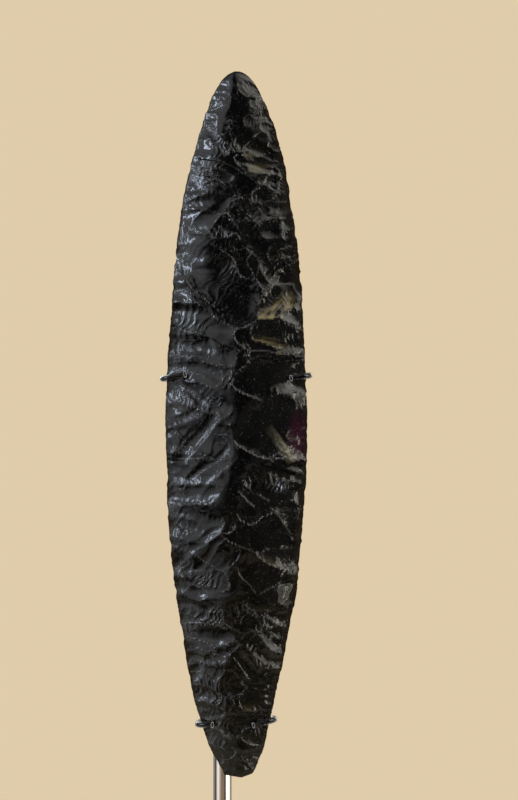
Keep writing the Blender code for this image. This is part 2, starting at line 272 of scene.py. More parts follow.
def wrap_faces(rows, columns):
    """Quads between rings of points, each ring closed on itself."""
    row, column = np.meshgrid(np.arange(rows - 1), np.arange(columns), indexing="ij")
    after = (column + 1) % columns
    corners = [row * columns + column, row * columns + after]
    corners += [(row + 1) * columns + after, (row + 1) * columns + column]
    return np.stack(corners, axis=-1).reshape(-1, 4)


turn = np.linspace(0, 2 * math.pi, FLOOR_SIDES, endpoint=False)
radii = np.array([0.02, 0.3, 1.0])[:, None] * FLOOR_RADIUS
floor_rings = np.stack([radii * np.cos(turn), radii * np.sin(turn), 0 * radii * turn], axis=-1)
pale = new_finish("pale_floor")
spot = pale.place()
from_middle = pale.node("ShaderNodeVectorMath", {"operation": "LENGTH"}, {0: spot}, "Value")
pale.set({"Base Color": (0.66, 0.59, 0.46, 1), "Roughness": 0.9, "Specular IOR Level": 0.1})
pale.set({"Alpha": 1 - from_middle.between(FLOOR_FADE, FLOOR_RADIUS * 0.98)})
floor = grid_mesh("floor", floor_rings, wrap_faces(3, FLOOR_SIDES).tolist(), pale.holder)

# The foot is a flat plate of satin steel with softly broken edges. The rod stands in a round
# blind hole in its top, a little behind the middle.
foot_low, foot_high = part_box("foot")
post_low, post_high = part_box("post")
ROD_RADIUS = (post_high.x - post_low.x) / 2
ROD_X = (post_high.x + post_low.x) / 2
ROD_Y = (post_high.y + post_low.y) / 2
FOOT_BEVEL = 0.0015
FOOT_CORNER = 0.003
GAP = 0.0003
SOCKET_FLOOR = post_low.z - GAP
SOCKET_FLARE = 0.06
AROUND = 192
PINCH = 0.001


def rounded_rectangle(half_x, half_y, corner, count):
    """Points round a rectangle whose corners are arcs.

    In each quarter turn the first and last 0.35 of the points lie on the straight sides, and
    the 0.3 between them go round the corner.
    """
    angle = np.linspace(0, 2 * math.pi, count, endpoint=False) + math.pi / count
    number = np.floor(angle / (math.pi / 2))
    quarter = np.mod(angle, math.pi / 2) / (math.pi / 2)
    arc = (number + np.clip((quarter - 0.35) / 0.3, 0, 1)) * math.pi / 2
    x = np.sign(np.cos(angle)) * (half_x - corner) + corner * np.cos(arc)
    y = np.sign(np.sin(angle)) * (half_y - corner) + corner * np.sin(arc)
    first = np.clip(quarter / 0.35, 0, 1)
    last = np.clip((1 - quarter) / 0.35, 0, 1)
    even = number % 2 == 0
    return np.where(even, x * last, x * first), np.where(even, y * first, y * last)


def ring_stack(rings):
    """Rings of x, y and height as one array of points."""
    stack = []
    for x, y, height in rings:
        stack.append(np.stack([x, y, np.full_like(x, height)], axis=-1))
    return np.array(stack)


def foot_rings():
    """The plate's skin, from the middle of its underside out, up, in and down the socket.

    Its edges are half circles of the bevel's radius, drawn apart by the straight side. A ring of
    a pinch of its size closes the skin at each end.
    """
    half_x = (foot_high.x - foot_low.x) / 2
    half_y = (foot_high.y - foot_low.y) / 2
    angle = np.linspace(0, 2 * math.pi, AROUND, endpoint=False) + math.pi / AROUND
    under_x, under_y = rounded_rectangle(half_x - FOOT_BEVEL, half_y - FOOT_BEVEL, FOOT_CORNER, AROUND)
    rings = [(under_x * PINCH, under_y * PINCH, foot_low.z)]
    for lift in np.linspace(-math.pi / 2, math.pi / 2, 13):
        inset = FOOT_BEVEL * (1 - math.cos(lift))
        base = foot_low.z + FOOT_BEVEL if lift < 0 else foot_high.z - FOOT_BEVEL
        corner = FOOT_CORNER + FOOT_BEVEL - inset
        x, y = rounded_rectangle(half_x - inset, half_y - inset, corner, AROUND)
        rings.append((x, y, base + FOOT_BEVEL * math.sin(lift)))
    top_x, top_y, top = rings[-1]
    bore = ROD_RADIUS + GAP
    for share, radius in ((0.5, bore), (0.85, bore), (1.0, bore * (1 + SOCKET_FLARE))):
        x = top_x * (1 - share) + share * (ROD_X + radius * np.cos(angle))
        y = top_y * (1 - share) + share * (ROD_Y + radius * np.sin(angle))
        rings.append((x, y, top))
    socket = ((bore, top - SOCKET_FLARE * bore), (bore, SOCKET_FLOOR), (bore * PINCH, SOCKET_FLOOR))
    for radius, height in socket:
        rings.append((ROD_X + radius * np.cos(angle), ROD_Y + radius * np.sin(angle), height))
    return ring_stack(rings)


def skinned(name, rings, material, sharp=None):
    """A closed solid: quads over a stack of rings, and a polygon over its first and its last."""
    rows, columns = rings.shape[:2]
    first = np.arange(columns)[::-1].tolist()
    last = ((rows - 1) * columns + np.arange(columns)).tolist()
    return grid_mesh(name, rings, [*wrap_faces(rows, columns).tolist(), first, last], material, sharp)


satin = new_finish("satin_steel")
grain = satin.noise(satin.place((60, 2600, 2600)), 1.0, 3.0)
cloud = satin.noise(satin.place(), 38.0, 3.0)
satin.set({"Base Color": satin.blend(cloud, (0.27, 0.26, 0.25, 1), (0.36, 0.35, 0.34, 1))})
satin.set({"Metallic": 1.0, "Roughness": 0.30 + 0.16 * cloud + 0.08 * grain})
satin.set({"Normal": satin.bump(grain, 0.00002)})
foot = skinned("foot_plate", foot_rings(), satin.holder, 40)
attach(foot, "root")
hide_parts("foot")

# The rod is a length of round bar, polished bright, with its top edge broken. It stands in the
# foot and passes behind the blade, and each clip's wire goes through a hole drilled across it.
ROD_CHAMFER = 0.0005
ROD_SIDES = 128
UPPER_HOLE = BASE_HEIGHT + 0.1701
LOWER_HOLE = BASE_HEIGHT + 0.0235
WIRE_RADIUS = 0.00075
BORE_RADIUS = WIRE_RADIUS + GAP
HOLE_BAND = 0.002


def rod_rings():
    """Circles about the bar's axis, chamfered at both ends, with one near each side of a hole."""
    profile = [(ROD_RADIUS - ROD_CHAMFER, post_low.z), (ROD_RADIUS, post_low.z + ROD_CHAMFER)]
    for hole in (LOWER_HOLE, UPPER_HOLE):
        profile += [(ROD_RADIUS, hole - HOLE_BAND), (ROD_RADIUS, hole + HOLE_BAND)]
    profile += [(ROD_RADIUS, post_high.z - ROD_CHAMFER), (ROD_RADIUS - ROD_CHAMFER, post_high.z)]
    angle = np.linspace(0, 2 * math.pi, ROD_SIDES, endpoint=False)
    rings = []
    for radius, height in profile:
        rings.append((ROD_X + radius * np.cos(angle), ROD_Y + radius * np.sin(angle), height))
    return ring_stack(rings)


def drill(thing, height):
    """Cut a round hole through the bar along X at the height."""
    angle = np.linspace(0, 2 * math.pi, 32, endpoint=False)
    rings = []
    for x in (ROD_X - 2 * ROD_RADIUS, ROD_X + 2 * ROD_RADIUS):
        y = ROD_Y + BORE_RADIUS * np.cos(angle)
        rings.append(np.stack([np.full_like(y, x), y, height + BORE_RADIUS * np.sin(angle)], axis=-1))
    cutter = skinned("drill", np.array(rings), thing.data.materials[0])
    cut = thing.modifiers.new("hole", "BOOLEAN")
    cut.operation = "DIFFERENCE"
    cut.object = cutter
    bpy.context.view_layer.objects.active = thing
    bpy.ops.object.modifier_apply(modifier=cut.name)
    bpy.data.objects.remove(cutter)


polish = new_finish("polished_steel")
rubbed = polish.noise(polish.place((30, 30, 3800)), 1.0, 2.0)
smear = polish.noise(polish.place(), 90.0, 4.0)
polish.set({"Base Color": polish.blend(smear, (0.56, 0.49, 0.41, 1), (0.66, 0.59, 0.50, 1))})
polish.set({"Metallic": 1.0, "Roughness": 0.05 + 0.08 * smear})
polish.set({"Normal": polish.bump(rubbed, 0.000002)})
rod = skinned("rod", rod_rings(), polish.holder)
drill(rod, LOWER_HOLE)
drill(rod, UPPER_HOLE)
rod.data.set_sharp_from_angle(angle=math.radians(25))
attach(rod, "root")
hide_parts("post")

# The blade is one piece of black volcanic glass. Flakes were struck and pressed off it from both
# edges of both faces, and each left a shell-shaped hollow with ripples that spread from the
# place of the blow. Rows of small chips trim the edges, which wind a little and are sharp.
MM = 0.001
BLADE_WIDTH = 0.0598
BLADE_THICKNESS = 0.0130
WIDEST_HEIGHT = 0.150
BASE_WIDTH = 0.0094
TIP_WIDTH = 0.0026
SWAY = 0.0006
EDGE_WAVE = 0.0005
LEFT_WINDING = 0.053
RIGHT_WINDING = 0.041
RIPPLE_SPACING = 0.0026
RIPPLE_HEIGHT = 0.00034
HACKLE_HEIGHT = 0.00016
BEHIND_BLADE = 0.001
BLADE_MIDDLE_Y = post_low.y - BEHIND_BLADE - BLADE_THICKNESS / 2
BASE_LOWEST_X = 0.0022
BLADE_ROWS = 500
FRONT_COLUMNS = 132
BACK_COLUMNS = 66

# How far the real edges stand outside the regular outline, by height, in millimetres.
TRIM_HEIGHTS = (0, 1.6, 3.5, 6, 12, 20, 28, 35, 48, 62, 75, 90)
TRIM_HEIGHTS += (114, 130, 160, 190, 200, 210, 220, 240, 258, 270, 290, 300)
LEFT_TRIM = (0.4, -0.3, -0.2, 0, 0.25, 0.4, 0.6, 0.35, -0.1, -0.2, 0.1, 0.4)
LEFT_TRIM += (0.4, 0, 0.2, -0.1, -0.5, 0, 0.1, 0.4, 0.25, 0, -0.2, -0.3)
RIGHT_TRIM = (2.3, 2.2, 1.8, 1.5, 1.15, 0.35, 0, -0.15, -0.05, -0.45, 0.45, 0.05)
RIGHT_TRIM += (-0.15, 0.25, 0.1, 0.05, 0.3, 0.85, 0.9, 0.65, 0.75, 0.3, 0, 0.1)

# The front's ridge wanders off the middle line: heights above the base, and how far it stands to
# the right there, both in millimetres. The back's ridge runs straight.
RIDGE_HEIGHTS = (0, 32, 46, 56, 75, 92, 112, 122, 135, 180, 190, 199, 212, 228, 245, 262, 277, 290, 300)
RIDGE_OFFSETS = (0, -1, -0.5, 3, 3, 0, -3.5, -3, 0, 0, 2, -3, -9, -12, -9, -7, -6, -2.5, -1)

# Each scar of the front: the height of its striking point, its slant in degrees towards the tip,
# its reach, half breadth and depth, how much its floor dips away from the edge, how strongly it is
# rippled and how strongly a golden highlight is painted on its far end. Heights and lengths are in
# millimetres.
LEFT_SCARS = (
    (293.0, -15, 9, 5.0, 0.55, 0, 0, 0),
    (285.3, -5, 10, 3.6, 0.55, 0, 0.3, 0),
    (278.5, -8, 11, 4.4, 0.7, 0, 0.1, 0),
    (267.5, -6, 15, 5.0, 0.7, 0, 0.5, 0),
    (256.4, -6, 25, 5.6, 0.95, 0.01, 1, 0),
    (245.4, -4, 27, 5.4, 0.95, 0.01, 1, 0),
    (235.2, -8, 24, 7.0, 1.0, 0.01, 0.9, 0),
    (229.2, -47, 40, 11, 2.1, 0.065, 0.3, 0),
    (219.0, -6, 10, 4.2, 0.9, 0, 0.4, 0),
    (211.4, 0, 10, 4.4, 0.9, 0, 0.4, 0),
    (202.9, -6, 11, 4.6, 0.9, 0, 0.4, 0),
    (196.9, -12, 32, 8.6, 1.35, 0, 0.35, 0),
    (186.7, -24, 32, 8.6, 1.3, 0, 0.3, 0),
    (174.8, -10, 26, 7.0, 1.15, 0, 0.35, 0),
    (165.5, -18, 26, 7.0, 1.1, 0, 0.4, 0),
    (157.0, -34, 32, 9.0, 1.5, 0.02, 0.15, 0),
    (143.4, -12, 16, 6.0, 1.2, 0, 0.3, 0),
    (131.5, -20, 17, 5.4, 1.25, 0.02, 0.1, 0),
    (120.4, 0, 21, 5.2, 1.25, 0.03, 0.1, 0),
    (107.7, -4, 23, 10.5, 1.6, 0, 0.3, 0),
    (94.1, -26, 29, 8.8, 1.4, 0, 0.8, 0),
    (80.5, -6, 16, 5.0, 1.2, 0, 0.8, 0),
    (72.8, -18, 22, 5.6, 1.2, 0, 0.9, 0),
    (62.6, -6, 25, 6.4, 1.2, 0, 1.3, 0),
    (53.3, -14, 20, 5.4, 1.1, 0, 0.9, 0),
    (45.6, -4, 9, 4.6, 0.9, 0, 0.4, 0),
    (38.0, -12, 16, 5.8, 1.0, 0, 0.7, 0),
    (28.6, -8, 12, 5.6, 0.9, 0, 0.4, 0),
    (16.7, 0, 10, 5.6, 0.8, 0, 0.4, 0),
    (13.0, -62, 15, 9.0, 0.6, 0.10, 0.1, 0),
    (8.5, -18, 8, 3.6, 0.7, 0, 0.6, 0),
)
RIGHT_SCARS = (
    (294.7, -12, 8.5, 5.0, 0.5, 0, 0.2, 0),
    (287.4, -12, 11, 4.2, 0.6, 0, 0.4, 0),
    (281.1, -30, 14, 6.0, 0.75, 0, 0.9, 0.5),
    (271.7, -22, 17, 5.8, 0.8, 0, 0.3, 0.2),
    (262.4, -8, 15, 5.2, 0.85, 0, 0.5, 0.8),
    (252.6, 0, 12, 4.0, 0.75, 0, 0.3, 0),
    (245.4, -6, 15, 5.0, 0.85, 0, 0.3, 0.7),
    (236.0, -14, 18, 6.0, 0.9, 0, 0.4, 0),
    (226.2, -34, 17, 6.2, 1.0, 0, 0.9, 0.2),
    (214.5, -50, 27, 8.6, 2.1, 0, 0.3, 1),
    (195.2, 4, 10, 4.6, 1.0, 0, 0.3, 0.4),
    (185.9, 0, 24, 8.2, 1.5, 0, 0.4, 0.8),
    (170.6, 0, 31, 9.8, 1.6, 0, 0.05, 0),
    (148.5, 4, 31, 15.5, 2.1, 0, 0.05, 0),
    (146.0, -8, 15, 8.0, 2.3, 0, 0.1, 1),
    (123.8, 0, 27, 9.2, 1.5, 0, 1, 0),
    (106.0, 2, 34, 12.5, 1.75, 0, 0.1, 0),
    (111.9, -4, 15, 6.2, 1.3, 0, 0.5, 0),
    (94.1, -2, 19, 7.4, 1.35, 0, 0.2, 0.2),
    (81.0, -22, 25, 7.6, 1.25, 0, 0.4, 0.25),
    (69.4, -24, 17, 6.6, 1.2, 0, 0.4, 0.2),
    (60.1, -14, 18, 5.4, 1.1, 0, 0.5, 0),
    (49.0, -4, 14, 5.4, 1.0, 0, 0.5, 0),
    (33.7, -6, 18, 7.4, 1.1, 0, 0.5, 0.1),
    (16.7, 0, 12, 5.6, 0.9, 0, 0.6, 0.15),
    (10.5, -36, 10, 4.4, 0.9, 0.03, 0.9, 0.2),
    (5.0, -4, 7, 3.4, 0.7, 0, 0.9, 0.1),
)


def outline(height):
    """Centre line and half width at a height above the blade's base.

    The half width rises from the base as 1 - (1 - t)^2.05, raised to 0.8, up to the widest
    place, and is half a superellipse of power 1.8 from there to a small blunt tip. The centre
    line bends in a bell to the right near the tip, and in another to the left low down.
    """
    half = BLADE_WIDTH / 2
    low = np.clip(height / WIDEST_HEIGHT, 0, 1)
    high = np.clip((height - WIDEST_HEIGHT) / (BLADE_LENGTH - WIDEST_HEIGHT), 0, 1)
    lower = BASE_WIDTH / 2 + (half - BASE_WIDTH / 2) * (1 - (1 - low) ** 2.05) ** 0.8
    upper = np.sqrt((half**2 - TIP_WIDTH**2 / 4) * (1 - high**1.8) + TIP_WIDTH**2 / 4)
    share = height / BLADE_LENGTH
    to_right = np.exp(-(((share - 0.907) / 0.06) ** 2))
    to_left = np.exp(-(((share - 0.15) / 0.1) ** 2))
    return SWAY * (to_right - to_left), np.where(height < WIDEST_HEIGHT, lower, upper)


def envelope(height, across, ridge=0.0):
    """Height of the unscarred face over the middle plane.

    It is a lens: 1 less the share from the ridge to the edge to the power 1.75, all to the power
    0.9. It is thinner where the blade is narrow, by the share of the width to the power 0.75.
    """
    half = outline(height)[1]
    crest = BLADE_THICKNESS / 2 * (2 * half / BLADE_WIDTH) ** 0.75
    shifted = np.where(across < ridge, (across - ridge) / (1 + ridge), (across - ridge) / (1 - ridge))
    return crest * (1 - np.abs(shifted) ** 1.75) ** 0.9


def drift(x, z, size, seed):
    """Smooth noise about 0: seeded values on a lattice of the size, eased between its points."""
    lattice = np.random.default_rng(seed).standard_normal((int(0.5 / size) + 3, int(0.2 / size) + 3))
    row = (z + 0.05) / size
    column = (x + 0.08) / size
    i = np.floor(row).astype(int)
    j = np.floor(column).astype(int)
    v = row - i
    u = column - j
    v = v * v * (3 - 2 * v)
    u = u * u * (3 - 2 * u)
    near = lattice[i, j] * (1 - u) + lattice[i, j + 1] * u
    far = lattice[i + 1, j] * (1 - u) + lattice[i + 1, j + 1] * u
    return near * (1 - v) + far * v


def scar_row(seed, count, reach, depth, low=3.0, high=297.0):
    """A row of chips down both edges: evenly spaced, with seeded changes of size and slant."""
    draw = np.random.default_rng(seed)
    scars = []
    for side in (-1, 1):
        for number in range(count):
            start = low + (high - low) * (number + draw.uniform(0.1, 0.9)) / count
            length = draw.uniform(*reach)
            breadth = length * draw.uniform(0.4, 0.75)
            slant = draw.normal(-6, 14)
            scars.append((side, start, slant, length, breadth, draw.uniform(*depth), 0, 0, 0))
    return scars


def broad_row(seed, count, reach, breadth, depth, low=8, high=288):
    """A row of the older, long flakes that crossed the middle of a face, evenly spaced."""
    draw = np.random.default_rng(seed)
    scars = []
    for side in (-1, 1):
        for number in range(count):
            start = low + (high - low) * (number + draw.uniform(0.2, 0.8)) / count
            sizes = [draw.uniform(*limits) for limits in (reach, breadth, depth)]
            scars.append((side, start, draw.uniform(-30, 12), *sizes, 0, draw.uniform(0.2, 0.9), 0))
    return scars


def inner_scars(seed, count, sides):
    """Stumps of older scars inside the face. Their striking points have been flaked away since.

    Each stretch of a side has its lowest and highest place, its sign, and how near to and far
    from the middle line its stumps start, as shares of the half width.
    """
    draw = np.random.default_rng(seed)
    scars = []
    for low, high, sign, near, far in sides:
        for _ in range(round(count * (high - low) / 300)):
            side = sign * draw.uniform(near, far)
            reach = draw.uniform(4, 11)
            breadth = reach * draw.uniform(0.45, 0.85)
            depth = draw.uniform(0.2, 0.6)
            start = draw.uniform(low, high)
            slant = draw.uniform(-70, 60)
            ripple = draw.uniform(0.1, 0.8)
            scars.append((side, start, slant, reach, breadth, depth, 0, ripple, 0))
    return scars


def lay_scars(x, z, scars, seed):
    """The deepest scar at each point, the next deepest, and the marks of the deepest.

    A scar is a bowl. Its depth is multiplied by the bulb's swelling times one less the square
    of the share aside, less the fourth power of the share along. It is narrower where it
    starts. Its floor also dips away from the edge and leans to one side a little. The marks are
    the ways along and aside from the striking point, the shares along and aside, the ripple and
    the strength of the painted golden highlight.
    """
    draw = np.random.default_rng(seed)
    deepest = np.zeros_like(x)
    second = np.zeros_like(x)
    marks = np.zeros((6, *x.shape))
    for side, start, slant, reach, breadth, depth, dip, ripple, painted_gold_sheen in scars:
        start, reach, breadth, depth = (value * MM for value in (start, reach, breadth, depth))
        lean = draw.uniform(-0.08, 0.08)
        span = 1.3 * (reach + breadth)
        first, last = np.searchsorted(z[:, 0], (start - span, start + span))
        rows = slice(first, last)
        centre, half = outline(start)
        along_x = -np.sign(side) * math.cos(math.radians(slant))
        along_z = math.sin(math.radians(slant))
        dx = x[rows] - (centre + side * half)
        dz = z[rows] - start
        along = dx * along_x + dz * along_z
        aside = dz * along_x - dx * along_z
        share = np.clip(along, 0, None) / reach
        spread = breadth * (0.62 + 0.38 * np.clip(2 * share, 0, 1))
        swelling = 1 + 0.3 * np.exp(-share / 0.12)
        bowl = -depth * (swelling * (1 - (aside / spread) ** 2) - share**4)
        bowl = bowl - dip * np.clip(along, 0, None) + np.where(bowl < 0, lean * aside, 0)
        better = bowl < deepest[rows]
        second[rows] = np.where(better, deepest[rows], np.minimum(second[rows], bowl))
        deepest[rows] = np.where(better, bowl, deepest[rows])
        ones = np.ones_like(along)
        for mark, value in zip(marks, (along, aside, share, aside / spread, ripple * ones, painted_gold_sheen * ones)):
            mark[rows][better] = value[better]
    return deepest, second, marks


def crests(phase, sharpness):
    """A wave of narrow crests and broad troughs: the distance from the nearest half, to a power."""
    return np.abs(2 * (phase - np.floor(phase)) - 1) ** sharpness


def flaked(x, z, across, ridge, layers, seed):
    """A face's height under its layers of scars, and what its finish reads at each point.

    Drift moves the places where the scars are read, so that their outlines wander. Each layer
    of scars is cut into the one before, the first less deep where the stone is thin.
    The lens's height times the exponential of their depth over that height keeps the edge thin
    and the two faces apart. Ripples are rings about the striking point, and hackles are lines
    that run out from it near a scar's sides. An arris stands where the two deepest scars of the
    first layer are equally deep. A golden highlight is painted at the far end of a scar, on the
    side towards the base.
    """
    bend = 0.0008 * drift(x, z, 0.008, seed) + 0.00006 * drift(x, z, 0.0025, seed + 1)
    lift = 0.0009 * drift(x, z, 0.009, seed + 2) + 0.00006 * drift(x, z, 0.0025, seed + 3)
    centre, half = outline(z)
    full = envelope(z, across, ridge / half)
    cut, second, marks = lay_scars(x + bend, z + lift, layers[0], seed + 10)
    along, aside, share, share_aside, ripple, painted_gold_sheen = marks
    arris = np.exp(-(second - cut) / 0.00003) * np.clip(-cut / 0.0002, 0, 1)
    painted_gold_sheen = painted_gold_sheen * np.clip(1.7 * share - 0.5, 0, 1) * np.clip(0.15 + 1.2 * share_aside, 0, 1)
    cut = cut * full / (full + 0.0011)
    for number, layer in enumerate(layers[1:]):
        depth, _, newer = lay_scars(x + bend, z + lift, layer, seed + 11 + number)
        cut = cut + depth
        if number == 0:
            along, aside, share, share_aside, ripple, _ = np.where(depth < -0.00004, newer, marks)
            painted_gold_sheen = np.where(depth < -0.0001, 0.4 * painted_gold_sheen, painted_gold_sheen)
    height = full * np.exp(cut / np.maximum(full, 1e-5))
    out = np.hypot(along, aside * 0.85)
    wander = drift(x, z, 0.007, seed + 4) + 0.35 * drift(x, z, 0.003, seed + 7)
    patch = np.clip(0.8 + 0.7 * drift(x, z, 0.007, seed + 5), 0.1, 1.8)
    within = np.clip(full / 0.0015, 0, 1)
    amount = ripple * patch * (0.55 + 0.45 * np.clip(share, 0, 1.2)) * within
    coarse = crests(out / RIPPLE_SPACING + 0.8 * wander, 2.0)
    hackle = crests(np.arctan2(aside, along + 0.002) * 7 + 0.8 * wander, 2.0)
    hackled = patch * within * np.clip(np.abs(share_aside) * 2.5 - 1.2, 0, 1) * np.clip(share * 3, 0, 1)
    uneven = 0.00006 * drift(x, z, 0.0045, seed + 6) + 0.000015 * drift(x, z, 0.002, seed + 8)
    height = height + RIPPLE_HEIGHT * amount * coarse + HACKLE_HEIGHT * hackle * hackled
    height = height + uneven * within
    return height, along, aside, ripple * patch, painted_gold_sheen, arris


def blade_grid(columns):
    """Heights and shares across for a face's grid, closer together at the ends and edges."""
    step = np.linspace(0, 1, BLADE_ROWS + 1)
    height = BLADE_LENGTH * (step - 0.3 * np.sin(2 * math.pi * step) / (2 * math.pi))
    even = np.linspace(-1, 1, columns + 1)
    across = 0.75 * even + 0.25 * np.sin(even * math.pi / 2)
    return np.meshgrid(height, across, indexing="ij")


def nicks(height, side):
    """How far small chips bite into the edge: drift without its sign, less its usual size."""
    bite = np.zeros_like(height)
    for reach, deep, seed in ((0.0038, 0.00028, 61), (0.0016, 0.00022, 64)):
        wave = drift(height * 0 + side * 0.02, height, reach, seed + side)
        bite = bite + deep * np.abs(wave)
    return np.minimum(bite, 0.0008) - 0.00025


def make_face(columns, outward, offsets, layers, seed):
    """Points of one face, and the values that its finish reads at each of them.

    The two edges wind as sine waves with a little drift. The base rises to both sides of its
    lowest place, by 0.15 of the way to the left and 0.35 of the way to the right.
    """
    z, across = blade_grid(columns)
    centre, half = outline(z)
    taper = np.clip(half / 0.008, 0, 1)
    trim_at = np.array(TRIM_HEIGHTS) * MM
    left = -half - np.interp(z, trim_at, np.array(LEFT_TRIM) * MM) + nicks(z, -1) * taper
    right = half + np.interp(z, trim_at, np.array(RIGHT_TRIM) * MM) - nicks(z, 1) * taper
    x = centre + (left + right) / 2 + across * (right - left) / 2
    ridge = np.interp(z, np.array(RIDGE_HEIGHTS) * MM, np.array(offsets) * MM)
    height, *marks = flaked(x, z, across, ridge, layers, seed)
    height = height * (np.abs(across) < 0.99999)
    calm_tip = np.clip(4 - 4 * z / BLADE_LENGTH, 0, 1)
    wind_right = np.sin(z * 2 * math.pi / RIGHT_WINDING + 1) + 0.5 * drift(x * 0, z, 0.004, 71)
    wind_left = np.sin(z * 2 * math.pi / LEFT_WINDING) + 0.5 * drift(x * 0, z, 0.004, 72)
    middle = EDGE_WAVE * np.where(across > 0, wind_right, wind_left) * np.abs(across) ** 3 * calm_tip
    y = BLADE_MIDDLE_Y + middle + outward * height
    rise = np.where(x < BASE_LOWEST_X, 0.15 * (BASE_LOWEST_X - x), 0.35 * (x - BASE_LOWEST_X))
    rise = rise * np.clip(1 - z / 0.010, 0, 1)
    points = np.stack([x, y, z + rise + BASE_HEIGHT], axis=-1)
    return points, np.stack([*marks, height], axis=-1)


def halved(points, face, flip):
    """Triangles of a face's quads, each cut along the diagonal that stands further out."""
    a, b, c, d = face[:-1, :-1], face[:-1, 1:], face[1:, 1:], face[1:, :-1]
    y = points[:, 1]
    outer = (y[a] + y[c] - y[b] - y[d]) * flip > 0
    one = np.where(outer[..., None], np.stack([a, b, c], -1), np.stack([a, b, d], -1))
    two = np.where(outer[..., None], np.stack([a, c, d], -1), np.stack([b, c, d], -1))
    triangles = np.concatenate([one.reshape(-1, 3), two.reshape(-1, 3)])
    return triangles if flip < 0 else triangles[:, ::-1]


def end_cap(ahead, behind, flip):
    """Triangles between the front's and the back's last row, two front points to one behind."""
    a, b, c = ahead[:-2:2], ahead[1:-1:2], ahead[2::2]
    d, e = behind[:-1], behind[1:]
    corners = ((a, d, b), (b, e, c), (b, d, e))
    triangles = np.stack([np.stack(three, -1) for three in corners], 1).reshape(-1, 3)
    whole = (triangles != np.roll(triangles, 1, axis=1)).all(axis=1)
    return triangles[whole] if flip < 0 else triangles[whole][:, ::-1]


def front_layers():
    """The front's scars, oldest first: the main ones, stumps inside, and two rows of edge chips.

    The first number given for each row or group seeds its draws.
    """
    main_scars = [(-1, *scar) for scar in LEFT_SCARS] + [(1, *scar) for scar in RIGHT_SCARS]
    stumps = inner_scars(41, 34, ((8, 125, -1, 0.2, 0.8), (238, 290, -1, 0.1, 0.8), (8, 90, 1, 0, 0.8)))
    stumps += inner_scars(42, 60, ((113, 134, 1, 0.1, 0.85), (215, 285, 1, 0.1, 0.8)))
    stumps += inner_scars(44, 45, ((128, 190, -1, 0.1, 0.75),))
    layers = [main_scars + broad_row(21, 13, (26, 36), (9, 13), (0.4, 0.8)), stumps]
    return layers + [scar_row(31, 42, (4, 9), (0.25, 0.6)), scar_row(32, 84, (2, 4.4), (0.12, 0.32))]


def back_layers():
    """The back's scars, which the photograph doesn't show, in the same four layers."""
    main_scars = broad_row(22, 14, (18, 34), (6, 11), (1.0, 1.7))
    main_scars += broad_row(23, 13, (26, 36), (9, 13), (0.4, 0.8))
    layers = [main_scars, inner_scars(43, 60, ((8, 290, -1, 0.1, 0.8), (8, 290, 1, 0.1, 0.8)))]
    return layers + [scar_row(33, 42, (4, 9), (0.3, 0.7)), scar_row(34, 90, (2, 4.4), (0.25, 0.5))]


def make_blade(material):
    """The two faces sewn together along both edges, with a narrow cap at the base and the tip."""
    front, front_marks = make_face(FRONT_COLUMNS, -1, RIDGE_OFFSETS, front_layers(), 100)
    back, back_marks = make_face(BACK_COLUMNS, 1, [0] * len(RIDGE_OFFSETS), back_layers(), 200)
    rows = BLADE_ROWS + 1
    front_index = np.arange(rows * (FRONT_COLUMNS + 1)).reshape(rows, -1)
    back_index = np.zeros((rows, BACK_COLUMNS + 1), dtype=int)
    back_index[:, 1:-1] = front_index.size + np.arange(rows * (BACK_COLUMNS - 1)).reshape(rows, -1)
    back_index[:, 0] = front_index[:, 0]
    back_index[:, -1] = front_index[:, -1]
    points = np.concatenate([front.reshape(-1, 3), back[:, 1:-1].reshape(-1, 3)])
    marks = np.concatenate([front_marks.reshape(-1, 6), back_marks[:, 1:-1].reshape(-1, 6)])
    triangles = [halved(points, front_index, -1), halved(points, back_index, 1)]
    triangles.append(end_cap(front_index[0], back_index[0], -1))
    triangles.append(end_cap(front_index[-1], back_index[-1], 1))
    blade = grid_mesh("obsidian_blade", points, np.concatenate(triangles).tolist(), material, 18)
    ways = np.zeros((len(points), 3), dtype=np.float32)
    ways[:, :2] = marks[:, :2]
    kept = blade.data.attributes.new("strike", "FLOAT_VECTOR", "POINT")
    kept.data.foreach_set("vector", ways.ravel())
    for column, name in ((2, "ripple"), (3, "painted_gold_sheen"), (4, "arris"), (5, "thickness")):
        kept = blade.data.attributes.new(name, "FLOAT", "POINT")
        kept.data.foreach_set("value", marks[:, column].astype(np.float32))
    return blade


obsidian = new_finish("obsidian")
spot = obsidian.place()


def reading(name):
    """A number kept at each point of the blade."""
    return obsidian.node("ShaderNodeAttribute", {"attribute_name": name}, output="Fac")


# The finish reads how far each point lies along and aside from its scar's striking point. Rings
# round that point and rays out from it are the finest ripples and hackles.
strike = obsidian.node("ShaderNodeAttribute", {"attribute_name": "strike"}, output="Vector")
along = obsidian.node("ShaderNodeSeparateXYZ", inputs={0: strike}, output=0)
aside = obsidian.node("ShaderNodeSeparateXYZ", inputs={0: strike}, output=1)
out = obsidian.node("ShaderNodeVectorMath", {"operation": "LENGTH"}, {0: strike}, "Value")
turned = obsidian.node("ShaderNodeMath", {"operation": "ARCTAN2"}, {0: aside, 1: along + 0.002})
across_rings = obsidian.node("ShaderNodeCombineXYZ", inputs={0: out * 620, 1: turned * 3.0})
across_rays = obsidian.node("ShaderNodeCombineXYZ", inputs={0: out * 130, 1: turned * 14})
rings = obsidian.noise(across_rings, 1.0, 1.0, 0.5)
rays = obsidian.noise(across_rays, 1.0, 2.0, 0.5)
mottle = obsidian.noise(spot, 110.0, 4.0, 0.6)
crumbs = obsidian.noise(spot, 700.0, 3.0, 0.6)
speckle = obsidian.noise(spot, 1900.0, 2.0, 0.7)
dust = speckle.between(0.66, 0.73)
thin = 1 - reading("thickness").between(0.0001, 0.0005)
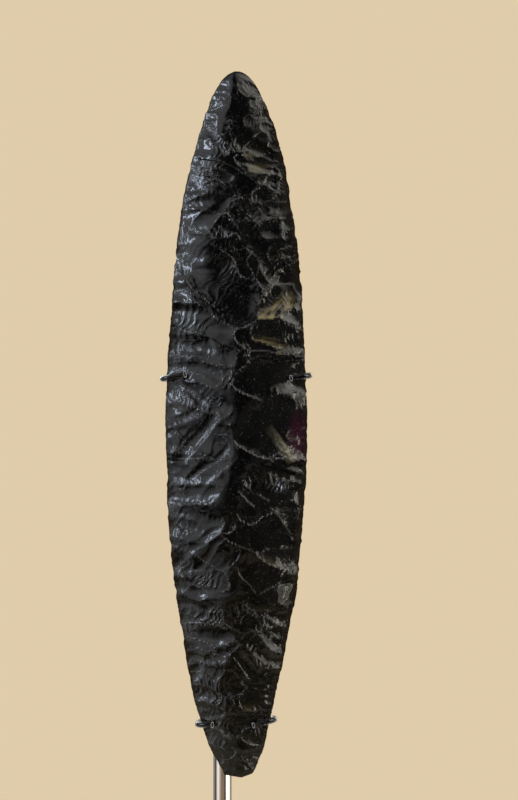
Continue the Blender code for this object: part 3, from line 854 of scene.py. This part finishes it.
# Where the arrises stand, a pale colour is painted: partly crushed glass, partly painted highlight.
crushed_arris_and_highlight = (reading("arris") * crumbs.between(0.48, 0.62)).clamped()
# A warm golden highlight is painted into the colour at the far ends of some scars, streaked by the rays.
painted_gold_sheen_mask = (reading("painted_gold_sheen") * rays.between(0.36, 0.60) * 1.8).clamped()
stone = obsidian.blend(mottle.between(0.3, 0.7), (0.0012, 0.0012, 0.0015, 1), (0.0035, 0.0035, 0.0033, 1))
sideways, deep, up = (
    obsidian.node("ShaderNodeSeparateXYZ", inputs={0: spot}, output=way) for way in range(3)
)
smoky = (1 - up.between(0.115, 0.18)) * mottle.between(0.2, 0.8)
stone = obsidian.blend(smoky, stone, (0.0062, 0.0046, 0.0012, 1))
stone = obsidian.blend(thin * 0.4, stone, (0.030, 0.021, 0.012, 1))
stone = obsidian.blend(painted_gold_sheen_mask, stone, (0.30, 0.24, 0.105, 1))

# A purple patch is painted upright on its right edge. Beside it a cream streak is painted, leaning
# down to the right, brightest near its lower end.
BLUSH_SQUASH = 0.35
BLUSH_AT = (0.0262, BLADE_MIDDLE_Y - 0.0022, BLUSH_SQUASH * (BASE_HEIGHT + 0.1445))
STREAK_X = 0.0200
STREAK_HEIGHT = 0.1411
STREAK_LEAN = math.radians(34.5)
squashed = obsidian.place((1, 1, BLUSH_SQUASH))
from_blush = {0: squashed, 1: BLUSH_AT}
blush = obsidian.node("ShaderNodeVectorMath", {"operation": "DISTANCE"}, from_blush, "Value")
stone = obsidian.blend((1 - blush.between(0.0020, 0.0048)) * 0.8, stone, (0.030, 0.004, 0.014, 1))
right_of = sideways - STREAK_X
above = up - (BASE_HEIGHT + STREAK_HEIGHT)
down_streak = right_of * math.sin(STREAK_LEAN) - above * math.cos(STREAK_LEAN)
off_streak = right_of * math.cos(STREAK_LEAN) + above * math.sin(STREAK_LEAN)
streak = off_streak.between(-0.0035, 0.0006) * (1 - off_streak.between(0.0008, 0.0014))
streak = streak * down_streak.between(-0.011, 0.006) * (1 - down_streak.between(0.0065, 0.0085))
streak = streak * (1 - deep.between(BLADE_MIDDLE_Y - 0.001, BLADE_MIDDLE_Y))
stone = obsidian.blend(streak * crumbs.between(0.25, 0.6), stone, (0.22, 0.20, 0.13, 1))

# Arrises are painted lighter, partly as crushed glass and partly as a painted highlight of the light they
# catch, and dust lies in specks. The finest relief is bump.
stone = obsidian.blend(crushed_arris_and_highlight * 0.7, stone, (0.15, 0.15, 0.145, 1))
stone = obsidian.blend(dust * 0.45, stone, (0.30, 0.29, 0.27, 1))
rippled = reading("ripple")
sway = obsidian.noise(spot, 85.0, 1.0) * 3.2 + obsidian.noise(spot, 330.0, 1.0) * 0.7
folded = obsidian.node("ShaderNodeMath", {"operation": "PINGPONG"}, {0: out * 560 + sway, 1: 0.5})
lines = (folded * 2) ** 4.0 * obsidian.noise(spot, 140.0, 2.0).between(0.5, 0.62)
relief = lines * (0.9 * rippled) + rings * (0.06 + 0.3 * rippled) + rays * (0.08 + 0.3 * rippled)
relief = relief + crumbs * (0.02 + 2.0 * reading("arris"))
obsidian.set({"Base Color": stone, "IOR": 1.49})
obsidian.set({"Roughness": 0.06 + 0.10 * mottle + 0.25 * dust + 0.10 * crushed_arris_and_highlight})
obsidian.set({"Normal": obsidian.bump(relief, 0.00010)})
blade = make_blade(obsidian.holder)
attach(blade, "root")
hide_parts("blade")

# Each clip is one length of dark steel wire. It goes through the rod, runs out behind the blade
# to both edges, bends round them and ends in a short hook on the front. A left and a right hook
# have their heights at the blade's edge and at the wire's end, and their reach in from the edge.
TUBE_RADIUS = BORE_RADIUS + 0.00025
WIRE_BEND = 0.0030
WIRE_CHAMFER = 0.0002
HOOK_REAR = 0.0040
ROD_LEAD = 0.0040
UPPER_HOOKS = ((0.1694, 0.1712, 0.0080), (0.1708, 0.1696, 0.0064))
LOWER_HOOKS = ((0.0226, 0.0226, 0.0047), (0.0248, 0.0224, 0.0074))


def rounded_route(corners, radius, step=0.0004):
    """A path through the corners, each turned with an arc of the radius."""
    route = [corners[0]]
    for before, corner, after in zip(corners, corners[1:], corners[2:]):
        arriving = (corner - before).normalized()
        leaving = (after - corner).normalized()
        angle = arriving.angle(leaving)
        normal = arriving.cross(leaving).normalized()
        begin = corner - arriving * radius * math.tan(angle / 2)
        middle = begin + normal.cross(arriving) * radius
        count = max(2, math.ceil(radius * angle / step))
        for number in range(count + 1):
            part = angle * number / count
            route.append(middle + (begin - middle) * math.cos(part) + arriving * radius * math.sin(part))
    route.append(corners[-1])
    return route


def tube_rings(route, radius, sides):
    """Rings round a route: the side times the cosine, plus the up times the sine, of each angle.

    The side is carried along the route without a twist.
    """
    places = np.array([tuple(place) for place in route])
    along = np.gradient(places, axis=0)
    along /= np.linalg.norm(along, axis=1)[:, None]
    side = np.array(Vector(along[0]).orthogonal().normalized())
    sides_at = []
    for heading_here in along:
        side = side - heading_here * side.dot(heading_here)
        side = side / np.linalg.norm(side)
        sides_at.append(side)
    sides_at = np.array(sides_at)
    up = np.cross(along, sides_at)
    angle = np.linspace(0, 2 * math.pi, sides, endpoint=False)[None, :, None]
    ring = sides_at[:, None] * np.cos(angle) + up[:, None] * np.sin(angle)
    return places[:, None] + radius * ring


def hook_corners(side, hook):
    """Corners of one hook's wire: its end on the front, round the edge, then behind the blade."""
    at_edge, at_end, reach = hook
    heights = np.array([at_edge - TUBE_RADIUS, at_edge, at_edge + TUBE_RADIUS])
    centre, half = outline(heights)
    edge = float(np.max(side * centre + half))
    clear = side * (edge + GAP + TUBE_RADIUS)
    end_x = side * (edge - reach)
    centre, half = outline(np.array([at_end]))
    across = (end_x - centre) / half
    ahead = BLADE_MIDDLE_Y - float(envelope(np.array([at_end]), across)[0]) - GAP - TUBE_RADIUS
    rear = BLADE_MIDDLE_Y + HOOK_REAR
    corners = ((end_x, ahead, at_end), (clear, ahead, at_edge), (clear, rear, at_edge))
    return [Vector((x, y, z + BASE_HEIGHT)) for x, y, z in corners]


def round_end(rings):
    """Rings with a small chamfer at both ends: each last ring again, at 0.8 of its size."""
    first = rings[0].mean(axis=0)
    last = rings[-1].mean(axis=0)
    back = (first - rings[1].mean(axis=0)) / np.linalg.norm(first - rings[1].mean(axis=0))
    on = (last - rings[-2].mean(axis=0)) / np.linalg.norm(last - rings[-2].mean(axis=0))
    start = [first + (rings[0] - first) * 0.8]
    end = [last + (rings[-1] - last) * 0.8]
    rings = rings.copy()
    rings[0] -= back * WIRE_CHAMFER
    rings[-1] -= on * WIRE_CHAMFER
    return np.concatenate([start, rings, end])


wire_steel = new_finish("dark_wire")
worn = wire_steel.noise(wire_steel.place(), 900.0, 4.0)
dark_steel = wire_steel.blend(worn, (0.006, 0.006, 0.006, 1), (0.035, 0.032, 0.029, 1))
wire_steel.set({"Base Color": dark_steel})
wire_steel.set({"Metallic": 0.7, "Roughness": 0.32 + 0.25 * worn})
wire_steel.set({"Normal": wire_steel.bump(worn, 0.00002)})
hooks = {}
for clip, hole, (left, right) in (("upper", UPPER_HOLE, UPPER_HOOKS), ("lower", LOWER_HOLE, LOWER_HOOKS)):
    lead = ROD_RADIUS + ROD_LEAD
    left_corners = hook_corners(-1, left)
    right_corners = hook_corners(1, right)
    left_lead = Vector((ROD_X - lead, ROD_Y, hole))
    right_lead = Vector((ROD_X + lead, ROD_Y, hole))
    route = rounded_route([*left_corners, left_lead, right_lead, *right_corners[::-1]], WIRE_BEND)
    wire = skinned(f"{clip}_wire", round_end(tube_rings(route, WIRE_RADIUS, 20)), wire_steel.holder, 50)
    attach(wire, "root")
    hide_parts(f"{clip}_clip")
    hooks[f"{clip}_left"] = (left_corners, left_lead)
    hooks[f"{clip}_right"] = (right_corners, right_lead)

# The sleeves are short lengths of clear soft tube pushed over the hooks, so that no metal
# touches the stone. Each is cut at a slant just past the wire's end and runs on behind the edge.


def shortened(route, length):
    """The stretch of a route from its start that has the given length."""
    kept = [route[0]]
    for place in route[1:]:
        reach = (place - kept[-1]).length
        if reach >= length:
            kept.append(kept[-1].lerp(place, length / reach))
            return kept
        kept.append(place)
        length -= reach
    return kept


def sleeve_faces(rows, columns):
    """Quads of the outer skin, the inner skin turned inwards, and the two cut ends."""
    outer = wrap_faces(rows, columns)
    inner = wrap_faces(rows, columns)[:, ::-1] + rows * columns
    column = np.arange(columns)
    after = (column + 1) % columns
    inside = rows * columns
    first = np.stack([column, inside + column, inside + after, after], axis=-1)
    end = (rows - 1) * columns
    last = np.stack([end + column, end + after, inside + end + after, inside + end + column], axis=-1)
    return np.concatenate([outer, inner, first, last])


TUBE_BEYOND_WIRE = 0.0005
TUBE_BEHIND = 0.0060
TUBE_SIDES = 28
CUT_SLANT = 0.5
clear = new_finish("clear_tube")
scuffs = clear.noise(clear.place(), 1400.0, 3.0)
clear.set({"Base Color": (0.52, 0.52, 0.51, 1), "Transmission Weight": 1.0, "IOR": 1.42})
clear.set({"Roughness": 0.04 + 0.16 * scuffs, "Normal": clear.bump(scuffs, 0.00003)})
cut_end = new_finish("cut_tube_end")
knife_marks = cut_end.noise(cut_end.place((2500, 2500, 600)), 1.0, 2.0)
cut_end.set({"Base Color": cut_end.blend(knife_marks, (0.42, 0.42, 0.41, 1), (0.66, 0.66, 0.64, 1))})
cut_end.set({"Roughness": 0.45 + 0.2 * knife_marks, "Normal": cut_end.bump(knife_marks, 0.00003)})
for name, (corners, lead_corner) in hooks.items():
    onward = rounded_route([*corners, lead_corner], WIRE_BEND)
    onward[0] = onward[0] - (onward[1] - onward[0]).normalized() * TUBE_BEYOND_WIRE
    to_rear = (onward[0] - corners[1]).length + (corners[2] - corners[1]).length
    stretch = shortened(onward, to_rear - WIRE_BEND + TUBE_BEHIND)
    outer = tube_rings(stretch, TUBE_RADIUS, TUBE_SIDES)
    inner = tube_rings(stretch, BORE_RADIUS, TUBE_SIDES)
    inward = np.array((stretch[1] - stretch[0]).normalized())
    for skin in (outer, inner):
        skin[0] += inward * CUT_SLANT * (stretch[0].y + TUBE_RADIUS - skin[0][:, 1:2])
    points = np.concatenate([outer, inner])
    faces = sleeve_faces(len(stretch), TUBE_SIDES)
    sleeve = grid_mesh(f"{name}_tube", points, faces.tolist(), clear.holder, 50)
    sleeve.data.materials.append(cut_end.holder)
    at_ends = np.arange(len(faces)) >= len(faces) - 2 * TUBE_SIDES
    sleeve.data.polygons.foreach_set("material_index", at_ends.astype(np.int32))
    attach(sleeve, "root")
    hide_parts(f"{name}_sleeve")
